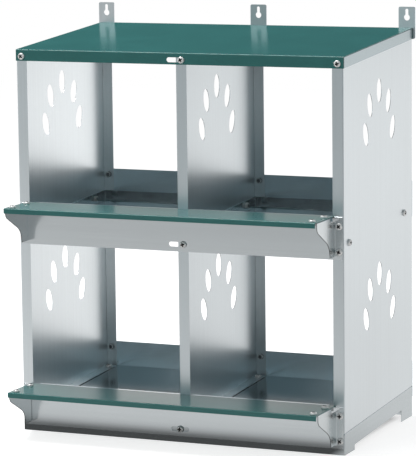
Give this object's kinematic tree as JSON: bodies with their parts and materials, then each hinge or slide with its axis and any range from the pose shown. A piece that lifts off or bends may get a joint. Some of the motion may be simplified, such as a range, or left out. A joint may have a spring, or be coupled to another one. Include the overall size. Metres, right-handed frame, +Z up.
{
  "type": "chicken nesting box",
  "caption": "Folded galvanised sheet nesting box for hens: tiers of open nests with sloping floors, low fronts and backs, coated roof and perches, and keyhole wall hangers.",
  "frame": {"origin": "middle of the box around the whole object, on the ground", "axes": "+X to the right seen from the front, +Y from the front to the rear, +Z up"},
  "size_m": [0.621, 0.4492, 0.74],
  "materials": {
    "galvanised_sheet": "galvanised steel sheet, satin, faint streaks",
    "green_coat": "semi-gloss dark green coating",
    "zinc_fasteners": "bright zinc plate"
  },
  "bodies": {
    "root": {"base_pan": "galvanised_sheet", "left_side_panel": "galvanised_sheet", "right_side_panel": "galvanised_sheet", "centre_partition": "galvanised_sheet", "roof_side_trim_left": "galvanised_sheet", "roof_side_trim_right": "galvanised_sheet", "upper_shelf_left": "galvanised_sheet", "upper_shelf_right": "galvanised_sheet", "front_rail_upper": "galvanised_sheet", "front_rail_lower": "galvanised_sheet", "rear_board_upper": "galvanised_sheet", "rear_board_lower": "galvanised_sheet", "perch_bracket_upper_left": "galvanised_sheet", "perch_bracket_upper_right": "galvanised_sheet", "perch_bracket_lower_left": "galvanised_sheet", "perch_bracket_lower_right": "galvanised_sheet", "wall_hanger_left": "galvanised_sheet", "wall_hanger_centre": "galvanised_sheet", "wall_hanger_right": "galvanised_sheet", "roof_panel": "green_coat", "perch_upper": "green_coat", "perch_lower": "green_coat", "roof_front_screws": "zinc_fasteners", "hanger_screws": "zinc_fasteners", "rail_centre_screws": "zinc_fasteners", "bracket_screws": "zinc_fasteners", "perch_screws": "zinc_fasteners", "shelf_side_screws": "zinc_fasteners", "rear_board_screws": "zinc_fasteners", "base_flange_screws": "zinc_fasteners", "roof_front_nuts": "zinc_fasteners", "hanger_nuts": "zinc_fasteners", "rail_centre_nuts": "zinc_fasteners", "bracket_nuts": "zinc_fasteners", "perch_nuts": "zinc_fasteners", "shelf_side_nuts": "zinc_fasteners", "rear_board_nuts": "zinc_fasteners", "base_flange_nuts": "zinc_fasteners"}
  },
  "joints": []
}
